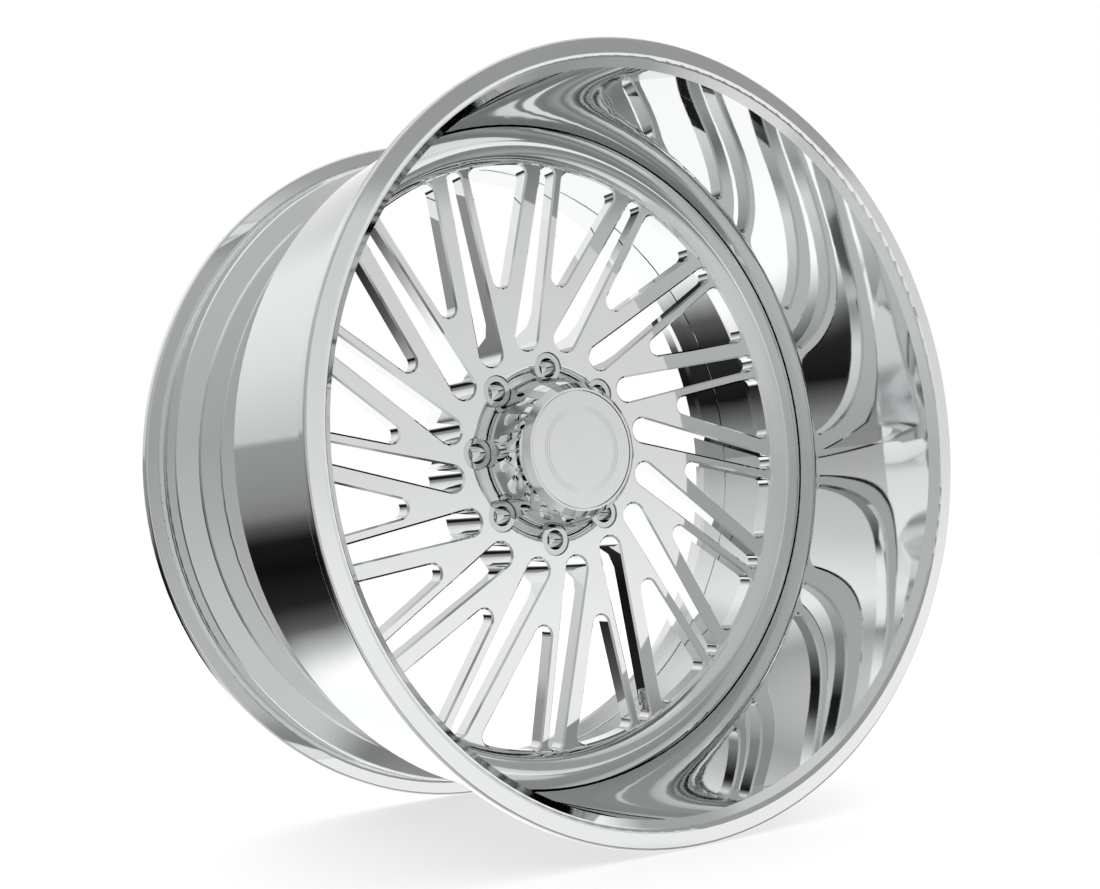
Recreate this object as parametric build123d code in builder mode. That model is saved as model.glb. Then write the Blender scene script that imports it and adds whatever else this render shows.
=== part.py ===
from build123d import *
import math
import os

os.makedirs("parts", exist_ok=True)

# Frame: the wheel spins about Y, its face looks towards -Y, +Z is up.
# The origin is on the axis, midway between the two flange faces. All lengths are in mm.

# ---- rim, to the usual 26 x 14 inch drop-centre proportions ----
FLANGE_R = 350.1          # outside radius of both flanges
RIM_W = 378.5             # overall width over both flanges
FLANGE_T = 11.5           # thickness of a flange
FLANGE_H = 17.5           # flange height over the bead seat
SEAT_W = 21.0             # width of a bead seat
SEAT_DEG = 5.0            # taper of a bead seat
HUMP_H = 1.2              # height of the safety hump
BAND_W = 16.6             # flat polished band round the front lip
LIP_ROLL = 8.0            # rolled edge between the band and the lip wall
LIP_BORE_R = 323.6        # lip wall radius beside the centre
LIP_BORE_FRONT_R = 325.5  # lip wall radius just behind the rolled edge
BREAK_R = 327.6           # outside radius where the barrel starts to taper
WELL_R = 311.5            # outside radius at the bottom of the drop well
WALL = 7.5                # barrel wall behind the centre
WELL_W = 4.0              # flat bottom of the well
RAMP_W = 7.0              # axial length of the steep wall out of the well
LAND_R = 309.0            # inside radius of the land the centre sits on
LAND_W = 28.5             # axial length of that land
BAND2_W = 11.0            # raised machining band inside the barrel
BAND2_H = 1.0

# ---- centre forging ----
OFFSET = 76.0             # mounting pad behind the middle of the rim
FACE_TO_PAD = 66.75       # spoke face in front of the mounting pad
PLATE_T = 17.0            # thickness of the spokes
BEAD_IN_R = 290.0         # inner edge of the rolled bead round the centre
BEAD_OUT_R = 322.4        # where the bead meets the lip wall groove
BEAD_UP = 12.5            # height of the bead's crown over the spoke face
BEAD_EDGE_UP = 9.5        # height of its outer edge over the spoke face
GROOVE = 1.2              # fine groove between bead and lip wall
HUB_R = 117.0             # boss behind the hub
HUB_T = 52.0              # thickness of the forging at the boss
PAD_R = 107.0             # mounting pad
BORE_R = 62.55            # hub bore
BOLT_CIRCLE = 170.0       # lug holes
LUGS = 8
LUG_HOLE_R = 7.8
RECESS_R = 84.0           # recess the cap stands in
RECESS_D = 20.0
RECESS_ROLL = 5.0
SPOKES = 16
SLOT_DEG = 34.0           # direction of a slot's middle line, from radial "up"
SLOT_OFF = 45.9           # distance of that line from the wheel's axis
SLOT_IN = 107.1           # inner end circle, measured along the line
SLOT_OUT = 276.7          # outer end circle, measured along the line
SLOT_IN_R = 12.4          # radius of the inner end
SLOT_OUT_R = 7.9          # radius of the outer end
RIB_NARROW = 9.6          # spoke arm between a slot and the window clockwise of it
RIB_WIDE = 17.0           # spoke arm between a window and the slot clockwise of it
WINDOW_OUT_R = 287.5      # outer edge of the windows
WINDOW_TIP_R = 9.2        # rounded inner end of a window
WINDOW_CORNER_R = 9.0     # rounded outer corners
BEVEL = 1.8               # bevel round every opening

# ---- lug sleeves ----
SLEEVE_R = 15.4
SLEEVE_BORE_R = 9.75
SLEEVE_BORE_D = 25.0
SLEEVE_SINK = 1.5         # top of the sleeve below the spoke face
SLEEVE_BED = 12.0         # depth of the sleeve's bed below the recess floor
SLEEVE_GAP = 0.35         # clear gap round the sleeve above the recess floor
STUD_R = 7.6

# ---- centre cap ----
TOWER_TOP_R = 63.5
TOWER_MID_R = 69.4
TOWER_LOW_R = 76.5
TOWER_FOOT_GAP = 0.8      # gap between the tower's foot and the recess wall
TOWER_TOP_UP = 45.3       # top of the tower above the spoke face
TOWER_MID_UP = 30.5
TOWER_LOW_UP = -1.5
FOOT_UP = -6.0            # top of the foot's flange
COLLAR_R = 50.0
COLLAR_WALL = 8.0
COLLAR_UP = 29.0          # top of the collar above the spoke face
CARRIER_R = 75.0
CARRIER_T = 6.0
CARRIER_SCREWS_AT = 69.0
SCALLOP_GAP = 0.4         # room between a lug sleeve and the cap's scallop
CAP_R = 64.5
CAP_T = 6.7
CAP_CHAMFER = 5.5
CAP_SPIGOT = 9.5
INLAY_R = 56.6
INLAY_T = 3.0
INLAY_SINK = 0.5
INLAY_GAP = 0.4
PAD_W = 19.0              # width of a milled screw pad on the tower
PAD_TOP_R = 66.5          # distance of the pad's floor from the axis at its top
PAD_TOP_UP = 38.0
PAD_LOW_R = 73.2          # and near its foot
PAD_LOW_UP = -4.0
PAD_SCREW_UP = (20.0, -0.5)
PAD_HEAD_R = 4.5
PAD_HEAD_T = 3.2
PAD_SHANK_R = 2.5
FIT = 0.05                # running or locating clearance

# ---- valve ----
VALVE_DEG = 168.0         # clock position, from the top and clockwise seen from the front
VALVE_Y = 84.0
VALVE_HOLE_R = 5.75
SPOT_R = 10.5
STEM_R = 4.0
STEM_L = 38.0             # stem beyond the wall's inner flat
STEM_HEAD_R = 8.5
STEM_HEAD_T = 2.6
GROMMET_R = 9.0
GROMMET_T = 3.0
WASHER_T = 1.6
NUT_AF = 12.0
NUT_T = 5.5
VALVE_TIP_R = 3.85
CORE_R = 2.6
CORE_L = 8.0
PIN_R = 0.75
SEAL_T = 1.4
SPRING_COILS = 5
SPRING_WIRE = 0.2
SPRING_MEAN = 1.2
CAP_OUT_R = 5.2
CAP_LEN = 12.0
CAP_CLEAR = 0.4

HALF_W = RIM_W / 2
SEAT_R = FLANGE_R - FLANGE_H
FACE_Y = OFFSET - FACE_TO_PAD
PLATE_BACK_Y = FACE_Y + PLATE_T
PAD_Y = OFFSET
FLOOR_Y = FACE_Y + RECESS_D
LUG_R = BOLT_CIRCLE / 2
BREAK_Y = FACE_Y - 1.5
SEAT_IN_Y = HALF_W - FLANGE_T - SEAT_W
SEAT_END_R = SEAT_R - SEAT_W * math.tan(math.radians(SEAT_DEG))
RAMP_Y = SEAT_IN_Y - 10.0
WELL_Y = RAMP_Y - RAMP_W
FACE = Plane(origin=(0, FACE_Y, 0), x_dir=(1, 0, 0), z_dir=(0, -1, 0))


def clock(radius, degrees):
    """Point of a front view at a radius and a clock angle from the top."""
    a = math.radians(degrees)
    return (radius * math.sin(a), radius * math.cos(a))


def front_plane(y):
    """Plane seen from the front at a given Y, with +X right and +Z up."""
    return Plane(origin=(0, y, 0), x_dir=(1, 0, 0), z_dir=(0, -1, 0))


def outside_r(y):
    """Outside radius of the tapered barrel at a given Y."""
    share = (y - BREAK_Y) / (WELL_Y - WELL_W - BREAK_Y)
    return BREAK_R + (WELL_R - BREAK_R) * share


# ================= rim barrel =================
with BuildPart() as rim_barrel:
    with BuildSketch(Plane.XY) as rim_section:
        with BuildLine():
            fy = -HALF_W
            Polyline(
                (FLANGE_R - BAND_W, fy), (FLANGE_R, fy), (FLANGE_R, fy + FLANGE_T),
                (SEAT_R, fy + FLANGE_T), (SEAT_END_R, -SEAT_IN_Y),
                (SEAT_END_R + HUMP_H, -SEAT_IN_Y + 4), (SEAT_END_R + HUMP_H, -SEAT_IN_Y + 9),
                (SEAT_END_R - 0.4, -SEAT_IN_Y + 16),
                (BREAK_R, BREAK_Y), (WELL_R, WELL_Y - WELL_W), (WELL_R, WELL_Y),
                (SEAT_END_R, RAMP_Y),
                (SEAT_END_R + HUMP_H, RAMP_Y + 2), (SEAT_END_R + HUMP_H, SEAT_IN_Y - 3),
                (SEAT_END_R, SEAT_IN_Y),
                (SEAT_R, HALF_W - FLANGE_T), (FLANGE_R, HALF_W - FLANGE_T), (FLANGE_R, HALF_W),
                (FLANGE_R - BAND_W, HALF_W), (LIP_BORE_FRONT_R, HALF_W - 8),
                (LIP_BORE_FRONT_R - 2, RAMP_Y + 9),
                (WELL_R - WALL, WELL_Y + 2), (WELL_R - WALL, WELL_Y - WELL_W - 1),
                (outside_r(PLATE_BACK_Y + LAND_W + 6) - WALL, PLATE_BACK_Y + LAND_W + 6),
                (LAND_R, PLATE_BACK_Y + LAND_W), (LAND_R, PLATE_BACK_Y),
                (BEAD_OUT_R + GROOVE, PLATE_BACK_Y), (LIP_BORE_R, FACE_Y - BEAD_EDGE_UP - 3),
                (LIP_BORE_FRONT_R, fy + LIP_ROLL),
                close=True)
        make_face()
        pts = rim_section.vertices()
        edge_r = pts.filter_by(lambda v: abs(v.X - FLANGE_R) < 0.01)
        fillet(edge_r, 2.5)
        roots = rim_section.vertices().filter_by(lambda v: abs(v.X - SEAT_R) < 0.01)
        fillet(roots, 5.0)
        rolled = rim_section.vertices().filter_by(
            lambda v: abs(v.X - FLANGE_R + BAND_W) < 0.01 and v.Y < 0)
        fillet(rolled, 6.0)
        back_edge = rim_section.vertices().filter_by(
            lambda v: abs(v.X - FLANGE_R + BAND_W) < 0.01 and v.Y > 0)
        fillet(back_edge, 4.0)
        well = rim_section.vertices().filter_by(
            lambda v: abs(v.X - WELL_R) < 0.01 and abs(v.Y - WELL_Y) < 0.01)
        fillet(well, 2.0)
        ramp_top = rim_section.vertices().filter_by(
            lambda v: abs(v.X - SEAT_END_R) < 0.01 and abs(v.Y - RAMP_Y) < 0.01)
        fillet(ramp_top, 3.0)
    revolve(axis=Axis.Y)
    # raised machining band inside the barrel
    with BuildSketch(Plane.XY):
        with BuildLine():
            y0 = WELL_Y - 33.0
            y1 = y0 + BAND2_W
            Polyline(
                (outside_r(y0) - WALL + 1, y0), (outside_r(y1) - WALL + 1, y1),
                (outside_r(y1) - WALL - BAND2_H, y1 - 0.6),
                (outside_r(y0) - WALL - BAND2_H, y0 + 0.6),
                close=True)
        make_face()
    revolve(axis=Axis.Y)
    # valve hole with a flat spot on both sides of the wall
    vx, vz = clock(1.0, VALVE_DEG)
    flat_out = outside_r(VALVE_Y + SPOT_R) - 0.3
    flat_in = outside_r(VALVE_Y - SPOT_R) - WALL + 0.3
    valve_out = Plane(
        origin=(vx * flat_out, VALVE_Y, vz * flat_out), x_dir=(0, 1, 0), z_dir=(vx, 0, vz))
    valve_in = Plane(
        origin=(vx * flat_in, VALVE_Y, vz * flat_in), x_dir=(0, 1, 0), z_dir=(-vx, 0, -vz))
    with BuildSketch(valve_out):
        Circle(SPOT_R)
    extrude(amount=8, mode=Mode.SUBTRACT)
    with BuildSketch(valve_in):
        Circle(SPOT_R)
    extrude(amount=8, mode=Mode.SUBTRACT)
    with BuildSketch(valve_out):
        Circle(VALVE_HOLE_R)
    extrude(amount=-20, mode=Mode.SUBTRACT)

VALVE_WALL = flat_out - flat_in

# ================= centre forging =================
# one tapered slot: two end circles and their common tangents
along = (math.sin(math.radians(SLOT_DEG)), math.cos(math.radians(SLOT_DEG)))
across = (along[1], -along[0])
slot_in = (SLOT_IN * along[0] - SLOT_OFF * across[0], SLOT_IN * along[1] - SLOT_OFF * across[1])
slot_out = (SLOT_OUT * along[0] - SLOT_OFF * across[0],
            SLOT_OUT * along[1] - SLOT_OFF * across[1])
with BuildSketch() as slot_shape:
    with Locations(slot_in):
        Circle(SLOT_IN_R)
    with Locations(slot_out):
        Circle(SLOT_OUT_R)
    make_hull()

# one window: bounded by a neighbour slot's side on each hand, and by a circle outside
pitch = 360.0 / SPOKES
taper = math.degrees(math.asin((SLOT_IN_R - SLOT_OUT_R) / (SLOT_OUT - SLOT_IN)))


def side_line(degrees, offset):
    """Unit direction and normal of a line at a clock angle, with its distance from the axis."""
    a = math.radians(degrees)
    return (math.sin(a), math.cos(a)), (math.cos(a), -math.sin(a)), offset


def meet(one, two):
    """Crossing point of two side lines."""
    (n1, o1), (n2, o2) = (one[1], one[2]), (two[1], two[2])
    det = n1[0] * n2[1] - n1[1] * n2[0]
    return ((o1 * n2[1] - n1[1] * o2) / det, (n1[0] * o2 - n2[0] * o1) / det)


def at_radius(line, radius):
    """Outer point of a side line on a circle round the axis."""
    d, n, o = line
    t = math.sqrt(radius * radius - o * o)
    return (n[0] * o + d[0] * t, n[1] * o + d[1] * t)


def side_offset(degrees, sign):
    """Distance of a slot's side from the axis."""
    n = side_line(degrees, 0)[1]
    return slot_in[0] * n[0] + slot_in[1] * n[1] + sign * SLOT_IN_R


left_side = side_line(SLOT_DEG - taper - pitch,
                      side_offset(SLOT_DEG - taper, 1) + RIB_NARROW)
right_side = side_line(SLOT_DEG + taper, side_offset(SLOT_DEG + taper, -1) - RIB_WIDE)
tip = meet(left_side, right_side)
corner_l = at_radius(left_side, WINDOW_OUT_R)
corner_r = at_radius(right_side, WINDOW_OUT_R)
mid_deg = math.degrees(
    math.atan2(corner_l[0], corner_l[1]) + math.atan2(corner_r[0], corner_r[1])) / 2
with BuildSketch() as window_shape:
    with BuildLine():
        Line(tip, corner_l)
        ThreePointArc(corner_l, clock(WINDOW_OUT_R, mid_deg), corner_r)
        Line(corner_r, tip)
    make_face()
    tips = window_shape.vertices().sort_by_distance((0, 0))
    fillet(tips[0], WINDOW_TIP_R)
    outer = window_shape.vertices().filter_by(
        lambda v: abs(math.hypot(v.X, v.Y) - WINDOW_OUT_R) < 0.05)
    fillet(outer, WINDOW_CORNER_R)

# bevel cutters, drawn in the front view's own frame with +Z towards the viewer
with BuildPart() as slot_bevel:
    with BuildSketch(Plane.XY.offset(-BEVEL)):
        add(slot_shape.sketch)
    with BuildSketch(Plane.XY.offset(0.05)):
        add(slot_shape.sketch)
        offset(amount=BEVEL + 0.05)
    loft(ruled=True)
with BuildPart() as window_bevel:
    with BuildSketch(Plane.XY.offset(-BEVEL)):
        add(window_shape.sketch)
    with BuildSketch(Plane.XY.offset(0.05)):
        add(window_shape.sketch)
        offset(amount=BEVEL + 0.05)
    loft(ruled=True)

with BuildPart() as centre_forging:
    with BuildSketch(Plane.XY) as disc_section:
        with BuildLine():
            Polyline(
                (BEAD_IN_R, FACE_Y), (RECESS_R, FACE_Y), (RECESS_R, FLOOR_Y),
                (BORE_R, FLOOR_Y), (BORE_R, PAD_Y), (PAD_R, PAD_Y),
                (HUB_R, FACE_Y + HUB_T), (HUB_R + 12, PLATE_BACK_Y + 6),
                (HUB_R + 24, PLATE_BACK_Y), (BEAD_OUT_R + GROOVE, PLATE_BACK_Y),
                (BEAD_OUT_R + GROOVE, FACE_Y - BEAD_EDGE_UP + 5),
                (BEAD_OUT_R, FACE_Y - BEAD_EDGE_UP + 3),
                (BEAD_OUT_R, FACE_Y - BEAD_EDGE_UP))
            ThreePointArc(
                (BEAD_OUT_R, FACE_Y - BEAD_EDGE_UP),
                (BEAD_OUT_R - 14.0, FACE_Y - BEAD_UP),
                (BEAD_IN_R, FACE_Y))
        make_face()
        rim_of_recess = disc_section.vertices().filter_by(
            lambda v: abs(v.X - RECESS_R) < 0.01 and abs(v.Y - FACE_Y) < 0.01)
        fillet(rim_of_recess, RECESS_ROLL)
        bead_foot = disc_section.vertices().filter_by(
            lambda v: abs(v.X - BEAD_IN_R) < 0.01)
        fillet(bead_foot, 3.0)
        hub_edge = disc_section.vertices().filter_by(
            lambda v: abs(v.X - HUB_R) < 0.01)
        fillet(hub_edge, 4.0)
        pad_edge = disc_section.vertices().filter_by(
            lambda v: abs(v.X - PAD_R) < 0.01)
        fillet(pad_edge, 1.5)
    revolve(axis=Axis.Y)
    with BuildSketch(front_plane(FACE_Y)):
        with PolarLocations(0, SPOKES):
            add(slot_shape.sketch)
            add(window_shape.sketch)
    extrude(amount=-(HUB_T + 20), mode=Mode.SUBTRACT)
    with Locations(front_plane(FACE_Y)):
        with PolarLocations(0, SPOKES):
            add(slot_bevel.part, mode=Mode.SUBTRACT)
            add(window_bevel.part, mode=Mode.SUBTRACT)
    # lug holes: clearance for the sleeve, its bed, and the stud hole
    with BuildSketch(front_plane(FACE_Y)):
        with PolarLocations(LUG_R, LUGS, start_angle=90):
            Circle(SLEEVE_R + SLEEVE_GAP)
    extrude(amount=-RECESS_D, mode=Mode.SUBTRACT)
    with BuildSketch(front_plane(FLOOR_Y)):
        with PolarLocations(LUG_R, LUGS, start_angle=90):
            Circle(SLEEVE_R)
    extrude(amount=-SLEEVE_BED, mode=Mode.SUBTRACT)
    with BuildSketch(front_plane(FLOOR_Y)):
        with PolarLocations(LUG_R, LUGS, start_angle=90):
            Circle(LUG_HOLE_R)
    extrude(amount=-(PAD_Y - FLOOR_Y), mode=Mode.SUBTRACT)
    # threaded holes for the cap carrier's screws
    with BuildSketch(front_plane(FLOOR_Y)):
        with PolarLocations(CARRIER_SCREWS_AT, LUGS, start_angle=90 + 180 / LUGS):
            Circle(3.0)
    extrude(amount=-18, mode=Mode.SUBTRACT)
    # weight-saving pockets in the mounting pad, between the lug holes
    with BuildSketch(front_plane(PAD_Y)):
        with PolarLocations(LUG_R, LUGS, start_angle=90 + 180 / LUGS):
            SlotCenterToCenter(12, 22, rotation=90)
    extrude(amount=14, mode=Mode.SUBTRACT)

# ================= weld bead =================
WELD_LEG = 7.0
with BuildPart() as weld_bead:
    with BuildSketch(Plane.XY):
        with BuildLine():
            a = (LAND_R, PLATE_BACK_Y)
            b = (LAND_R, PLATE_BACK_Y + WELD_LEG)
            c = (LAND_R - WELD_LEG, PLATE_BACK_Y)
            Line(a, b)
            ThreePointArc(
                b, (LAND_R - 0.42 * WELD_LEG, PLATE_BACK_Y + 0.42 * WELD_LEG), c)
            Line(c, a)
        make_face()
    revolve(axis=Axis.Y)

# ================= lug sleeves =================
SEAT_L = (SLEEVE_BORE_R - STUD_R) / math.tan(math.radians(30))
SLEEVE_TOP_Y = FACE_Y + SLEEVE_SINK
SLEEVE_END_Y = FLOOR_Y + SLEEVE_BED
with BuildPart() as lug_sleeves:
    with BuildSketch(front_plane(SLEEVE_TOP_Y)):
        with PolarLocations(LUG_R, LUGS, start_angle=90):
            Circle(SLEEVE_R)
    extrude(amount=-(SLEEVE_END_Y - SLEEVE_TOP_Y))
    top_rims = lug_sleeves.edges().filter_by(GeomType.CIRCLE).filter_by(
        lambda e: abs(e.center().Y - SLEEVE_TOP_Y) < 0.01)
    chamfer(top_rims, 0.6)
    with BuildSketch(front_plane(SLEEVE_TOP_Y)):
        with PolarLocations(LUG_R, LUGS, start_angle=90):
            Circle(SLEEVE_BORE_R)
    extrude(amount=-SLEEVE_BORE_D, mode=Mode.SUBTRACT)
    with BuildSketch(front_plane(SLEEVE_TOP_Y + SLEEVE_BORE_D)):
        with PolarLocations(LUG_R, LUGS, start_angle=90):
            Circle(SLEEVE_BORE_R)
    extrude(amount=-SEAT_L, taper=30, mode=Mode.SUBTRACT)
    with BuildSketch(front_plane(SLEEVE_END_Y)):
        with PolarLocations(LUG_R, LUGS, start_angle=90):
            Circle(STUD_R)
    extrude(amount=SLEEVE_END_Y - SLEEVE_TOP_Y, mode=Mode.SUBTRACT)

# ================= cap carrier =================
CARRIER_TOP_Y = FLOOR_Y - CARRIER_T
COLLAR_TOP_Y = FACE_Y - COLLAR_UP
TOWER_TOP_Y = FACE_Y - TOWER_TOP_UP
SCALLOP_R = SLEEVE_R + SCALLOP_GAP
TOWER_FOOT_R = RECESS_R - TOWER_FOOT_GAP


def pad_plane(index, height):
    """Plane on a screw pad's sloping floor, its normal pointing outwards."""
    slope = (PAD_LOW_R - PAD_TOP_R) / (PAD_TOP_UP - PAD_LOW_UP)
    radius = PAD_TOP_R + slope * (PAD_TOP_UP - height)
    sx, sz = clock(1.0, (index + 0.5) * 360.0 / LUGS)
    length = math.hypot(1.0, slope)
    return Plane(
        origin=(sx * radius, FACE_Y - height, sz * radius),
        x_dir=(sz, 0, -sx),
        z_dir=(sx / length, -slope / length, sz / length))


with BuildPart() as cap_carrier:
    with BuildSketch(front_plane(FLOOR_Y)):
        Circle(CARRIER_R)
        Circle(COLLAR_R - COLLAR_WALL, mode=Mode.SUBTRACT)
        with PolarLocations(LUG_R, LUGS, start_angle=90):
            Circle(SCALLOP_R, mode=Mode.SUBTRACT)
    extrude(amount=CARRIER_T)
    with BuildSketch(front_plane(CARRIER_TOP_Y)):
        Circle(COLLAR_R)
        Circle(COLLAR_R - COLLAR_WALL, mode=Mode.SUBTRACT)
    extrude(amount=CARRIER_TOP_Y - COLLAR_TOP_Y)
    with BuildSketch(front_plane(FLOOR_Y)):
        with PolarLocations(CARRIER_SCREWS_AT, LUGS, start_angle=90 + 180 / LUGS):
            Circle(3.0)
    extrude(amount=CARRIER_T, mode=Mode.SUBTRACT)
    with BuildSketch(front_plane(CARRIER_TOP_Y)):
        with PolarLocations(CARRIER_SCREWS_AT, LUGS, start_angle=90 + 180 / LUGS):
            Circle(5.2)
    extrude(amount=-3.6, mode=Mode.SUBTRACT)
    for i in range(LUGS):
        for h in PAD_SCREW_UP:
            with BuildSketch(pad_plane(i, h)):
                Circle(PAD_SHANK_R)
            extrude(amount=-30, mode=Mode.SUBTRACT)

with BuildPart() as cap_carrier_screws:
    with BuildSketch(front_plane(CARRIER_TOP_Y + 3.6)):
        with PolarLocations(CARRIER_SCREWS_AT, LUGS, start_angle=90 + 180 / LUGS):
            Circle(5.0)
    extrude(amount=3.2)
    with BuildSketch(front_plane(CARRIER_TOP_Y + 3.6)):
        with PolarLocations(CARRIER_SCREWS_AT, LUGS, start_angle=90 + 180 / LUGS):
            Circle(3.0)
    extrude(amount=-16)
    with BuildSketch(front_plane(CARRIER_TOP_Y + 0.4)):
        with PolarLocations(CARRIER_SCREWS_AT, LUGS, start_angle=90 + 180 / LUGS):
            RegularPolygon(2.5, 6)
    extrude(amount=-2.2, mode=Mode.SUBTRACT)

# ================= cap tower =================
with BuildPart() as cap_tower:
    with BuildSketch(Plane.XY) as tower_section:
        with BuildLine():
            low_y = FACE_Y - TOWER_LOW_UP
            Polyline(
                (TOWER_TOP_R, TOWER_TOP_Y), (COLLAR_R + FIT, TOWER_TOP_Y),
                (COLLAR_R + FIT, CARRIER_TOP_Y), (TOWER_FOOT_R, CARRIER_TOP_Y),
                (TOWER_FOOT_R, FACE_Y - FOOT_UP), (TOWER_LOW_R, low_y))
            ThreePointArc(
                (TOWER_LOW_R, low_y), (TOWER_MID_R, FACE_Y - TOWER_MID_UP),
                (TOWER_TOP_R, TOWER_TOP_Y))
        make_face()
        foot = tower_section.vertices().filter_by(
            lambda v: abs(v.X - TOWER_FOOT_R) < 0.01)
        fillet(foot, 1.5)
    revolve(axis=Axis.Y)
    with BuildSketch(front_plane(CARRIER_TOP_Y)):
        with PolarLocations(LUG_R, LUGS, start_angle=90):
            Circle(SCALLOP_R)
    extrude(amount=CARRIER_TOP_Y - TOWER_TOP_Y, mode=Mode.SUBTRACT)
    # milled pads with counterbored screw holes
    for i in range(LUGS):
        pad = pad_plane(i, PAD_TOP_UP)
        pad_len = PAD_TOP_UP + RECESS_D
        with BuildSketch(pad):
            with Locations((0, -PAD_W / 2)):
                Circle(PAD_W / 2)
            with Locations((0, -PAD_W / 2 - pad_len / 2)):
                Rectangle(PAD_W, pad_len)
        extrude(amount=20, mode=Mode.SUBTRACT)
        for h in PAD_SCREW_UP:
            with BuildSketch(pad_plane(i, h)):
                Circle(PAD_HEAD_R + FIT)
            extrude(amount=-PAD_HEAD_T, mode=Mode.SUBTRACT)
            with BuildSketch(pad_plane(i, h)):
                Circle(PAD_SHANK_R + 0.1)
            extrude(amount=-26, mode=Mode.SUBTRACT)

with BuildPart() as cap_screws:
    for i in range(LUGS):
        for h in PAD_SCREW_UP:
            with BuildSketch(pad_plane(i, h).offset(-PAD_HEAD_T)):
                Circle(PAD_HEAD_R)
            extrude(amount=PAD_HEAD_T - 0.3)
            with BuildSketch(pad_plane(i, h).offset(-PAD_HEAD_T)):
                Circle(PAD_SHANK_R)
            extrude(amount=-23)
            with BuildSketch(pad_plane(i, h).offset(-0.3)):
                RegularPolygon(2.0, 6)
            extrude(amount=-2.0, mode=Mode.SUBTRACT)

# ================= cap top =================
CAP_FRONT_Y = TOWER_TOP_Y - CAP_T
INLAY_Y = CAP_FRONT_Y + INLAY_SINK
POCKET_Y = INLAY_Y + INLAY_T
ORING_Y = TOWER_TOP_Y + CAP_SPIGOT / 2
ORING_R = 1.25
with BuildPart() as cap_rim:
    with BuildSketch(Plane.XY) as rim_plate:
        with BuildLine():
            Polyline(
                (0, POCKET_Y), (INLAY_R + INLAY_GAP, POCKET_Y),
                (INLAY_R + INLAY_GAP, CAP_FRONT_Y), (CAP_R - CAP_CHAMFER, CAP_FRONT_Y),
                (CAP_R, CAP_FRONT_Y + CAP_CHAMFER), (CAP_R, TOWER_TOP_Y),
                (COLLAR_R, TOWER_TOP_Y), (COLLAR_R, TOWER_TOP_Y + CAP_SPIGOT),
                (0, TOWER_TOP_Y + CAP_SPIGOT), close=True)
        make_face()
        back_rim = rim_plate.vertices().filter_by(
            lambda v: abs(v.X - CAP_R) < 0.01)
        fillet(back_rim, 0.6)
    revolve(axis=Axis.Y)
    with BuildSketch(front_plane(TOWER_TOP_Y + CAP_SPIGOT)):
        Circle(COLLAR_R - 6)
    extrude(amount=CAP_SPIGOT, mode=Mode.SUBTRACT)
    with BuildSketch(Plane.XY):
        with Locations((COLLAR_R, ORING_Y)):
            Rectangle(2 * (2 * ORING_R - FIT), 2 * ORING_R * 1.3)
    revolve(axis=Axis.Y, mode=Mode.SUBTRACT)

with BuildPart() as cap_oring:
    with BuildSketch(Plane.XY):
        with Locations((COLLAR_R + FIT - ORING_R, ORING_Y)):
            Circle(ORING_R)
    revolve(axis=Axis.Y)

with BuildPart() as cap_inlay:
    with BuildSketch(front_plane(POCKET_Y)):
        Circle(INLAY_R)
    extrude(amount=INLAY_T)
    inlay_rim = cap_inlay.edges().filter_by(lambda e: abs(e.center().Y - INLAY_Y) < 0.01)
    chamfer(inlay_rim, 0.5)
    # generic ring of fine turned grooves instead of any marking
    with BuildSketch(Plane.XY):
        for k in range(3):
            with Locations((38.0 + 2.0 * k, INLAY_Y)):
                Rectangle(0.6, 0.6)
    revolve(axis=Axis.Y, mode=Mode.SUBTRACT)

# ================= valve =================


def stem_plane(distance):
    """Plane across the valve, its normal pointing to the wheel's axis.

    The distance is counted from the wall's inner flat, positive towards the axis."""
    r = flat_in - distance
    return Plane(origin=(vx * r, VALVE_Y, vz * r), x_dir=(0, 1, 0), z_dir=(-vx, 0, -vz))


STEM_BASE = -VALVE_WALL - GROMMET_T
TIP_L = 12.0
with BuildPart() as valve_stem:
    with BuildSketch(stem_plane(STEM_BASE - STEM_HEAD_T)):
        Circle(STEM_HEAD_R)
    extrude(amount=STEM_HEAD_T)
    with BuildSketch(stem_plane(STEM_BASE)):
        Circle(STEM_R)
    extrude(amount=-STEM_BASE + STEM_L - TIP_L)
    with BuildSketch(stem_plane(STEM_L - TIP_L)):
        Circle(VALVE_TIP_R)
    extrude(amount=TIP_L)
    tip_rim = valve_stem.edges().filter_by(GeomType.CIRCLE)
    chamfer(tip_rim.sort_by_distance(stem_plane(STEM_L).origin)[0], 0.5)
    with BuildSketch(stem_plane(STEM_BASE - STEM_HEAD_T)):
        Circle(1.6)
    extrude(amount=STEM_HEAD_T - STEM_BASE + STEM_L, mode=Mode.SUBTRACT)
    with BuildSketch(stem_plane(STEM_L)):
        Circle(CORE_R)
    extrude(amount=-(CORE_L + 9), mode=Mode.SUBTRACT)

with BuildPart() as valve_grommet:
    with BuildSketch(stem_plane(-VALVE_WALL - GROMMET_T)):
        Circle(GROMMET_R)
        Circle(STEM_R, mode=Mode.SUBTRACT)
    extrude(amount=GROMMET_T)
    with BuildSketch(stem_plane(-VALVE_WALL)):
        Circle(VALVE_HOLE_R)
        Circle(STEM_R, mode=Mode.SUBTRACT)
    extrude(amount=VALVE_WALL - 0.2)

with BuildPart() as valve_washer:
    with BuildSketch(stem_plane(0)):
        Circle(GROMMET_R - 0.4)
        Circle(STEM_R + 0.15, mode=Mode.SUBTRACT)
    extrude(amount=WASHER_T)

with BuildPart() as valve_nut:
    with BuildSketch(stem_plane(WASHER_T)):
        RegularPolygon(NUT_AF / 2, 6, major_radius=False)
    extrude(amount=NUT_T)
    with BuildSketch(stem_plane(WASHER_T)):
        Circle(STEM_R)
    extrude(amount=NUT_T, mode=Mode.SUBTRACT)

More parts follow.
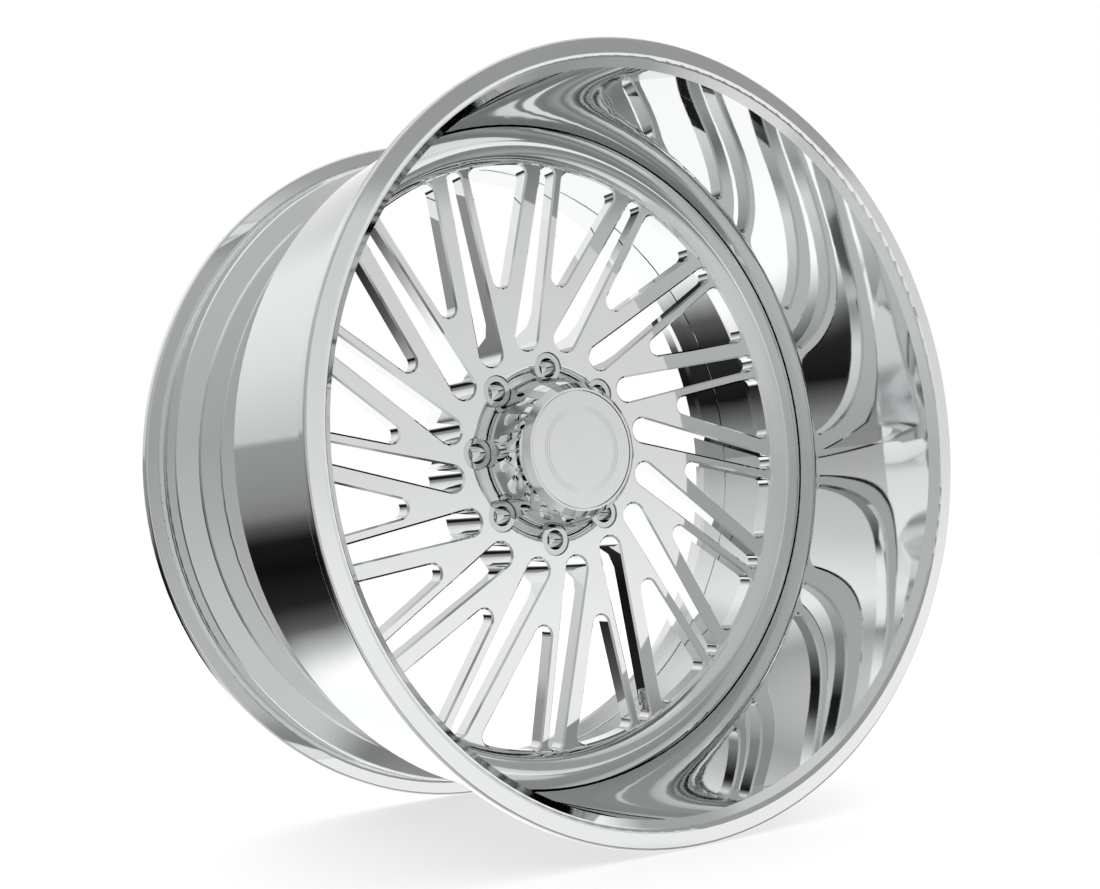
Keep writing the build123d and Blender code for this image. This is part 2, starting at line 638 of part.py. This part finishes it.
CORE_TOP = STEM_L - 2.0
CORE_BOTTOM = CORE_TOP - CORE_L
PIN_HEAD_T = 0.8
SPRING_L = 3.4
with BuildPart() as valve_core_body:
    with BuildSketch(stem_plane(CORE_BOTTOM)):
        Circle(CORE_R)
        Circle(PIN_R + FIT, mode=Mode.SUBTRACT)
    extrude(amount=CORE_L)
    with BuildSketch(stem_plane(CORE_TOP)):
        Circle(CORE_R - 0.9)
    extrude(amount=-(SPRING_L + PIN_HEAD_T), mode=Mode.SUBTRACT)

# the pin carries a head that the spring pushes on and, below the core, the seal
with BuildPart() as valve_core_pin:
    with BuildSketch(stem_plane(CORE_BOTTOM - SEAL_T - 0.6)):
        Circle(PIN_R)
    extrude(amount=CORE_L + SEAL_T + 0.6)
    with BuildSketch(stem_plane(CORE_TOP)):
        Circle(SPRING_MEAN + SPRING_WIRE)
    extrude(amount=-PIN_HEAD_T)
    with BuildSketch(stem_plane(CORE_BOTTOM - SEAL_T)):
        Circle(1.5)
    extrude(amount=-0.6)

with BuildPart() as valve_core_seal:
    with BuildSketch(stem_plane(CORE_BOTTOM - SEAL_T)):
        Circle(CORE_R - 0.5)
        Circle(PIN_R, mode=Mode.SUBTRACT)
    extrude(amount=SEAL_T)

SPRING_RISE = SPRING_L - 2 * SPRING_WIRE - 0.1
with BuildPart() as valve_core_spring:
    coil = stem_plane(CORE_TOP - PIN_HEAD_T - SPRING_L + SPRING_WIRE + 0.05)
    with BuildLine() as spring_line:
        Helix(
            pitch=SPRING_RISE / SPRING_COILS, height=SPRING_RISE, radius=SPRING_MEAN,
            center=coil.origin, direction=coil.z_dir)
    spring_path = spring_line.line
    with BuildSketch(Plane(origin=spring_path @ 0, z_dir=spring_path % 0)):
        Circle(SPRING_WIRE)
    sweep(path=spring_path)

CAP_BASE = STEM_L - TIP_L + 0.6
with BuildPart() as valve_cap:
    with BuildSketch(stem_plane(CAP_BASE)):
        Circle(CAP_OUT_R)
    extrude(amount=CAP_LEN + 2.0)
    cap_rims = valve_cap.edges().filter_by(GeomType.CIRCLE)
    knurl_rim = cap_rims.sort_by_distance(stem_plane(CAP_BASE + CAP_LEN + 2).origin)[0]
    chamfer(knurl_rim, 1.0)
    with BuildSketch(stem_plane(CAP_BASE)):
        Circle(VALVE_TIP_R + CAP_CLEAR)
    extrude(amount=CAP_LEN, mode=Mode.SUBTRACT)
    with BuildSketch(stem_plane(CAP_BASE + 1.5)):
        with PolarLocations(CAP_OUT_R, 16):
            Circle(0.45)
    extrude(amount=CAP_LEN - 3.5, mode=Mode.SUBTRACT)

with BuildPart() as valve_cap_seal:
    with BuildSketch(stem_plane(CAP_BASE + CAP_LEN - 0.55)):
        Circle(VALVE_TIP_R + CAP_CLEAR - FIT)
        Circle(1.5, mode=Mode.SUBTRACT)
    extrude(amount=0.55)

PIECES = {
    "rim_barrel": rim_barrel,
    "centre_forging": centre_forging,
    "weld_bead": weld_bead,
    "lug_sleeves": lug_sleeves,
    "cap_carrier": cap_carrier,
    "cap_carrier_screws": cap_carrier_screws,
    "cap_tower": cap_tower,
    "cap_screws": cap_screws,
    "cap_rim": cap_rim,
    "cap_oring": cap_oring,
    "cap_inlay": cap_inlay,
    "valve_stem": valve_stem,
    "valve_grommet": valve_grommet,
    "valve_washer": valve_washer,
    "valve_nut": valve_nut,
    "valve_core_body": valve_core_body,
    "valve_core_pin": valve_core_pin,
    "valve_core_seal": valve_core_seal,
    "valve_core_spring": valve_core_spring,
    "valve_cap": valve_cap,
    "valve_cap_seal": valve_cap_seal,
}
for name, piece in PIECES.items():
    piece.part.label = name
    export_step(piece.part, f"parts/{name}.step")
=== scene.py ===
import math

import bmesh
import bpy
from mathutils import Matrix, Vector


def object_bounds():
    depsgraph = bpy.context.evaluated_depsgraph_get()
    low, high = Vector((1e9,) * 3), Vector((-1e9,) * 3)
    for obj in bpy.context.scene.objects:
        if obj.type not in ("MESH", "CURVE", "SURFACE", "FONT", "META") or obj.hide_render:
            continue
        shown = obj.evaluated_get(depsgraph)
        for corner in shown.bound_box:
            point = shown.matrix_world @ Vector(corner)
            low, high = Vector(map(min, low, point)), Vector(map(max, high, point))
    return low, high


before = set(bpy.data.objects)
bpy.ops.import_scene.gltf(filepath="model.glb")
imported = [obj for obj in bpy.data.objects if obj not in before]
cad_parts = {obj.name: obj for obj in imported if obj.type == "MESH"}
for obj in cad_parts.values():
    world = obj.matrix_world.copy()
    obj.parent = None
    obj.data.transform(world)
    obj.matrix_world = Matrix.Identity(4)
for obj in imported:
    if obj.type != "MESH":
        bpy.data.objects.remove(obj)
cad_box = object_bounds()

# ---------------------------------------------------------------- shader tools


class Wire:
    """A shader socket that takes part in ordinary sums."""

    def __init__(self, bench, socket):
        self.bench = bench
        self.socket = socket

    def _sum(self, operation, first, second):
        return self.bench.node("ShaderNodeMath", {"operation": operation}, {0: first, 1: second})

    def __add__(self, other):
        return self._sum("ADD", self, other)

    def __radd__(self, other):
        return self._sum("ADD", other, self)

    def __sub__(self, other):
        return self._sum("SUBTRACT", self, other)

    def __rsub__(self, other):
        return self._sum("SUBTRACT", other, self)

    def __mul__(self, other):
        return self._sum("MULTIPLY", self, other)

    def __rmul__(self, other):
        return self._sum("MULTIPLY", other, self)

    def __pow__(self, other):
        return self._sum("POWER", self, other)

class Bench:
    """Builds the nodes of one finish."""

    def __init__(self, tree):
        self.tree = tree

    def node(self, kind, settings=None, sockets=None, out=0):
        made = self.tree.nodes.new(kind)
        for key, value in (settings or {}).items():
            if key == "stops":
                ramp = made.color_ramp
                while len(ramp.elements) < len(value):
                    ramp.elements.new(0.5)
                for stop, (place, colour) in zip(ramp.elements, value):
                    stop.position = place
                    stop.color = (*colour, 1.0)
            else:
                setattr(made, key, value)
        for key, value in (sockets or {}).items():
            if isinstance(value, Wire):
                self.tree.links.new(value.socket, made.inputs[key])
            else:
                made.inputs[key].default_value = value
        return Wire(self, made.outputs[out])


def new_finish(name):
    """A material with an empty node tree, and its bench."""
    finish = bpy.data.materials.new(name)
    finish.use_nodes = True
    finish.node_tree.nodes.clear()
    return finish, Bench(finish.node_tree)


def close_finish(bench, **sockets):
    """Ends a finish in one Principled shader."""
    shader = bench.node(
        "ShaderNodeBsdfPrincipled", None, {k.replace("_", " "): v for k, v in sockets.items()})
    end = bench.tree.nodes.new("ShaderNodeOutputMaterial")
    bench.tree.links.new(shader.socket, end.inputs["Surface"])


def object_place(bench, stretch=(1.0, 1.0, 1.0)):
    """Object coordinates in metres, stretched along each axis."""
    place = bench.node("ShaderNodeTexCoord", None, None, "Object")
    return bench.node("ShaderNodeMapping", None, {"Vector": place, "Scale": stretch})


def speckle(bench, place, scale, detail=3.0, rough=0.55):
    return bench.node(
        "ShaderNodeTexNoise", None,
        {"Vector": place, "Scale": scale, "Detail": detail, "Roughness": rough}, "Fac")


def grey(bench, amount, dark, light):
    """Colour between two greys or tints."""
    return bench.node(
        "ShaderNodeMix", {"data_type": "RGBA"},
        {"Factor": amount, 6: (*dark, 1.0), 7: (*light, 1.0)}, 2)


# ---------------------------------------------------------------- finishes


def mirror_polish(name, dark, light, gloss=0.018, haze=0.03):
    """Hand-polished forging: a clear mirror with faint haze and buffing marks."""
    finish, bench = new_finish(name)
    place = object_place(bench)
    cloud = speckle(bench, place, 9.0)
    streak = speckle(bench, object_place(bench, (1.0, 14.0, 1.0)), 260.0, 2.0)
    fine = speckle(bench, place, 2400.0, 2.0)
    rough = gloss + haze * cloud * cloud + 0.012 * streak * cloud
    swell = bench.node(
        "ShaderNodeBump", None, {"Strength": 0.05, "Distance": 0.00002, "Height": fine})
    close_finish(
        bench, Base_Color=grey(bench, cloud, dark, light), Metallic=1.0, Roughness=rough,
        Normal=swell)
    return finish


def turned_metal(name, dark, light, low, high, ring_scale=0.0, height=0.00001):
    """Machined metal with fine tool marks round the wheel's axis."""
    finish, bench = new_finish(name)
    place = object_place(bench)
    cloud = speckle(bench, place, 60.0)
    if ring_scale:
        marks = bench.node(
            "ShaderNodeTexWave",
            {"wave_type": "RINGS", "rings_direction": "Y", "wave_profile": "SIN"},
            {"Vector": place, "Scale": ring_scale, "Distortion": 0.4, "Detail": 2.0}, "Fac")
    else:
        marks = speckle(bench, object_place(bench, (1.0, 9.0, 1.0)), 700.0, 2.0)
    rough = low + (high - low) * marks * 0.6 + (high - low) * 0.4 * cloud
    dents = bench.node(
        "ShaderNodeBump", None, {"Strength": 0.35, "Distance": height, "Height": marks})
    close_finish(
        bench, Base_Color=grey(bench, cloud, dark, light), Metallic=1.0, Roughness=rough,
        Normal=dents)
    return finish


def milled_tower(name, dark, light):
    """Mirror-polished tower whose eight screw pads are left satin from the cutter."""
    finish, bench = new_finish(name)
    place = object_place(bench)
    east = bench.node("ShaderNodeSeparateXYZ", None, {"Vector": place}, "X")
    depth = bench.node("ShaderNodeSeparateXYZ", None, {"Vector": place}, "Y")
    north = bench.node("ShaderNodeSeparateXYZ", None, {"Vector": place}, "Z")
    turned = bench.node("ShaderNodeMath", {"operation": "ARCTAN2"}, {0: east, 1: north})
    eighth = math.pi / 4
    folded = bench.node(
        "ShaderNodeMath", {"operation": "FLOORED_MODULO"}, {0: turned, 1: eighth}) - eighth / 2
    reach = (east * east + north * north) ** 0.5
    out = reach * bench.node("ShaderNodeMath", {"operation": "COSINE"}, {0: folded})
    pad_floor = (depth - PAD_TOP[0]) * PAD_SLOPE + PAD_TOP[1]
    gap = bench.node("ShaderNodeMath", {"operation": "ABSOLUTE"}, {0: out - pad_floor})
    pad = bench.node("ShaderNodeMath", {"operation": "LESS_THAN"}, {0: gap, 1: PAD_NEAR})
    cloud = speckle(bench, place, 9.0)
    cutter = speckle(bench, object_place(bench, (1.0, 0.15, 1.0)), 5200.0, 2.0)
    polished = 0.016 + 0.025 * cloud
    satin = 0.30 + 0.08 * cutter
    marks = bench.node(
        "ShaderNodeBump", None, {"Strength": 0.25, "Distance": 0.00001, "Height": cutter * pad})
    close_finish(
        bench, Base_Color=grey(bench, pad, light, dark), Metallic=1.0,
        Roughness=polished + (satin - polished) * pad, Normal=marks)
    return finish


def soft_rubber(name):
    """Black moulded rubber."""
    finish, bench = new_finish(name)
    grain = speckle(bench, object_place(bench), 2200.0, 3.0)
    bloom = speckle(bench, object_place(bench), 90.0)
    dents = bench.node(
        "ShaderNodeBump", None, {"Strength": 0.4, "Distance": 0.00004, "Height": grain})
    close_finish(
        bench, Base_Color=grey(bench, bloom, (0.012, 0.012, 0.013), (0.03, 0.03, 0.032)),
        Roughness=0.5 + 0.2 * grain, Normal=dents)
    return finish


# the floor of a screw pad on the tower: depth along the axis and distance from it at the top
# and near the foot, then how fast it leans out, and how near to it a point counts as the pad
PAD_TOP = (-0.02875, 0.0665)
PAD_FOOT = (0.01325, 0.0732)
PAD_SLOPE = (PAD_FOOT[1] - PAD_TOP[1]) / (PAD_FOOT[0] - PAD_TOP[0])
PAD_NEAR = 0.00012

POLISHED = mirror_polish("polished_forging", (0.77, 0.785, 0.785), (0.80, 0.812, 0.812))
CAP_POLISH = mirror_polish("polished_cap", (0.74, 0.75, 0.755), (0.78, 0.79, 0.79), 0.03, 0.04)
SLEEVE = mirror_polish("polished_sleeve", (0.60, 0.61, 0.61), (0.66, 0.67, 0.67), 0.03, 0.05)
TOWER = milled_tower("milled_tower", (0.60, 0.61, 0.61), (0.79, 0.80, 0.80))
CARRIER = turned_metal("turned_carrier", (0.55, 0.555, 0.56), (0.62, 0.625, 0.63), 0.2, 0.34)
INLAY = turned_metal(
    "turned_inlay", (0.73, 0.74, 0.745), (0.78, 0.785, 0.79), 0.10, 0.22, 160.0, 0.000004)
WELD = turned_metal("weld_metal", (0.45, 0.45, 0.46), (0.62, 0.62, 0.63), 0.25, 0.5, 0.0, 0.0002)
STEEL = turned_metal("bright_steel", (0.52, 0.525, 0.53), (0.62, 0.62, 0.625), 0.14, 0.28)
DARK_STEEL = turned_metal("dark_steel", (0.12, 0.12, 0.125), (0.2, 0.2, 0.21), 0.3, 0.45)
PLATED = turned_metal("plated_brass", (0.62, 0.61, 0.59), (0.72, 0.71, 0.69), 0.1, 0.2)
BRASS = turned_metal("raw_brass", (0.5, 0.36, 0.16), (0.62, 0.47, 0.22), 0.22, 0.36)
RUBBER = soft_rubber("black_rubber")

FINISH_OF = {
    "rim_barrel": POLISHED,
    "centre_forging": POLISHED,
    "weld_bead": WELD,
    "lug_sleeves": SLEEVE,
    "cap_carrier": CARRIER,
    "cap_carrier_screws": DARK_STEEL,
    "cap_tower": TOWER,
    "cap_screws": STEEL,
    "cap_rim": CAP_POLISH,
    "cap_oring": RUBBER,
    "cap_inlay": INLAY,
    "valve_stem": PLATED,
    "valve_grommet": RUBBER,
    "valve_washer": STEEL,
    "valve_nut": PLATED,
    "valve_core_body": BRASS,
    "valve_core_pin": BRASS,
    "valve_core_seal": RUBBER,
    "valve_core_spring": STEEL,
    "valve_cap": SLEEVE,
    "valve_cap_seal": RUBBER,
}
for node, finish in FINISH_OF.items():
    node_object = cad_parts[node]
    node_object.data.materials.clear()
    node_object.data.materials.append(finish)

# ---------------------------------------------------------------- floor and light

floor_z = cad_box[0][2]
FLOOR_GAP = 0.0005
FLOOR_R = 7.5
BACKDROP_R = 8.0


def stage_piece(name, mesh, finish):
    """Puts a bmesh into the studio, not into the wheel."""
    made = bpy.data.objects.new(name, bpy.data.meshes.new(name))
    mesh.to_mesh(made.data)
    mesh.free()
    made.data.materials.append(finish)
    bpy.context.collection.objects.link(made)
    made.visible_glossy = False
    return made


floor_finish, bench = new_finish("pale_floor")
mottle = speckle(bench, object_place(bench), 3.0)
close_finish(
    bench, Base_Color=grey(bench, mottle, (0.30, 0.30, 0.30), (0.33, 0.33, 0.33)),
    Roughness=0.75 + 0.1 * mottle, Emission_Color=(1.0, 1.0, 1.0, 1.0), Emission_Strength=0.62)
sheet = bmesh.new()
bmesh.ops.create_circle(
    sheet, cap_ends=True, segments=96, radius=FLOOR_R,
    matrix=Matrix.Translation((0.0, 0.0, floor_z - FLOOR_GAP)))
stage_piece("floor", sheet, floor_finish)

backdrop_finish, bench = new_finish("white_backdrop")
backdrop_glow = bench.node("ShaderNodeEmission", None, {"Color": (1, 1, 1, 1), "Strength": 1.0})
backdrop_end = backdrop_finish.node_tree.nodes.new("ShaderNodeOutputMaterial")
backdrop_finish.node_tree.links.new(backdrop_glow.socket, backdrop_end.inputs["Surface"])
dome = bmesh.new()
bmesh.ops.create_uvsphere(dome, u_segments=64, v_segments=32, radius=BACKDROP_R)
bmesh.ops.bisect_plane(
    dome, geom=dome.verts[:] + dome.edges[:] + dome.faces[:], plane_co=(0, 0, floor_z - 0.01),
    plane_no=(0, 0, -1), clear_outer=True)
backdrop = stage_piece("backdrop", dome, backdrop_finish)
backdrop.visible_diffuse = False
backdrop.visible_shadow = False

# The room the polish mirrors. Each column is one side of it, as height in degrees and brightness:
# plain grey walls on the left, a black skirting behind on the left, a bright floor behind the wheel
# and a lit panel on the right.
LEFT = (
    (-90, 0.62), (-42, 0.70), (-18, 0.66), (-6, 0.58), (8, 0.52), (30, 0.56), (60, 0.58),
    (90, 0.62))
LEFT_CORNER = (
    (-90, 0.60), (-50, 0.45), (-40, 0.16), (-8, 0.12), (0, 0.28), (12, 0.40), (26, 0.50),
    (40, 0.88), (90, 1.0))
FAR_LEFT = (
    (-90, 1.20), (-48, 1.10), (-42, 0.58), (-35, 0.12), (-29, 0.03), (-13, 0.01), (-8, 0.15),
    (-4, 0.29), (3, 0.32), (6, 0.45), (12, 0.60), (18, 0.66), (24, 0.70), (32, 0.85), (40, 0.95),
    (54, 1.1), (90, 1.1))
BEHIND_LEFT = (
    (-90, 1.25), (-24, 1.25), (-22, 0.62), (-20, 0.12), (-17.5, 0.02), (-13, 0.006), (-9.2, 0.012),
    (-7, 0.10), (-5.5, 0.23), (-3, 0.30), (0, 0.33), (4.6, 0.36), (5.4, 0.66), (9, 0.73),
    (15, 0.86), (21, 0.94), (36, 1.02), (42, 0.42), (50, 0.80), (90, 1.1))
BEHIND_RIGHT = (
    (-90, 1.20), (-42, 1.20), (-20, 1.15), (18, 1.08), (24, 0.86), (30, 0.66), (40, 0.43),
    (50, 0.70), (90, 1.0))
RIGHT_CORNER = (
    (-90, 0.50), (-42, 0.42), (-30, 0.35), (-24, 0.46), (-18, 0.74), (-6, 0.77), (4, 0.90),
    (10, 1.05), (36, 1.06), (42, 0.44), (54, 0.47), (90, 0.60))
RIGHT = (
    (-90, 0.95), (-56, 0.85), (-49, 0.55), (-42, 0.24), (-36, 0.44), (-30, 0.37), (-22, 0.27),
    (-13.6, 0.30), (-12.2, 1.03), (-3, 1.03), (0, 0.96), (3, 0.85), (9, 0.79), (13.4, 0.74),
    (14.8, 0.43), (18, 0.38), (40, 0.38), (46, 0.60), (62, 0.74), (90, 1.1))
# compass bearings where one column runs into the next, going round from the front by the left
CORNERS = (
    (LEFT_CORNER, -118, -104), (FAR_LEFT, -74, -64), (BEHIND_LEFT, -44, -28),
    (BEHIND_RIGHT, -6, 5), (RIGHT_CORNER, 60, 80), (RIGHT, 110, 124), (LEFT, 166, 180))

world = bpy.data.worlds.new("studio")
bpy.context.scene.world = world
world.use_nodes = True
world.node_tree.nodes.clear()
bench = Bench(world.node_tree)
way = bench.node("ShaderNodeTexCoord", None, None, "Generated")
across_room = bench.node("ShaderNodeSeparateXYZ", None, {"Vector": way}, "X")
along_room = bench.node("ShaderNodeSeparateXYZ", None, {"Vector": way}, "Y")
lift = bench.node("ShaderNodeSeparateXYZ", None, {"Vector": way}, "Z") * 0.5 + 0.5
# compass: 0 straight behind the wheel, 90 to its right, in degrees
compass = bench.node(
    "ShaderNodeMath", {"operation": "ARCTAN2"}, {0: across_room, 1: along_room}) * (180 / math.pi)


def wall(column):
    """One side of the room, as a ramp over height."""
    stops = [((math.sin(math.radians(d)) + 1) / 2, (v, v, v)) for d, v in column]
    return bench.node("ShaderNodeValToRGB", {"stops": stops}, {"Fac": lift})


def turn_corner(first, second, start, end):
    """Runs from one wall into the next between two compass bearings."""
    passed = bench.node(
        "ShaderNodeMapRange", {"interpolation_type": "SMOOTHSTEP"},
        {"Value": compass, "From Min": start, "From Max": end}, "Result")
    return bench.node(
        "ShaderNodeMix", {"data_type": "RGBA"}, {"Factor": passed, 6: first, 7: second}, 2)


room = wall(LEFT)
for column, start, end in CORNERS:
    room = turn_corner(room, wall(column), start, end)
glow = bench.node("ShaderNodeBackground", None, {"Color": room, "Strength": 1.0})
sky_end = world.node_tree.nodes.new("ShaderNodeOutputWorld")
world.node_tree.links.new(glow.socket, sky_end.inputs["Surface"])

overhead = bpy.data.lights.new("overhead", "SUN")
overhead.energy = 3.2
overhead.angle = math.radians(110)
overhead_holder = bpy.data.objects.new("overhead", overhead)
overhead_holder.matrix_world = Matrix.Translation((0.0, 0.0, 3.0))
overhead_holder.visible_glossy = False
bpy.context.collection.objects.link(overhead_holder)

# ---------------------------------------------------------------- camera

EYE_PLACE = (-0.7660, -1.1306, -0.0836)
EYE_AIM = (0.5556, 0.829, 0.0672)
EYE_UP = (0.0, -0.0808, 0.9970)
LENS = 45.73

aim = Vector(EYE_AIM).normalized()
side = aim.cross(Vector(EYE_UP)).normalized()
top = side.cross(aim)
eye = bpy.data.cameras.new("camera")
eye.sensor_width = 36.0
eye.sensor_fit = "HORIZONTAL"
eye.lens = LENS
eye.clip_start = 0.01
camera = bpy.data.objects.new("camera", eye)
turn = Matrix((side, top, -aim)).transposed().to_4x4()
camera.matrix_world = Matrix.Translation(EYE_PLACE) @ turn
bpy.context.collection.objects.link(camera)
bpy.context.scene.camera = camera
bpy.context.scene.view_settings.view_transform = "Standard"
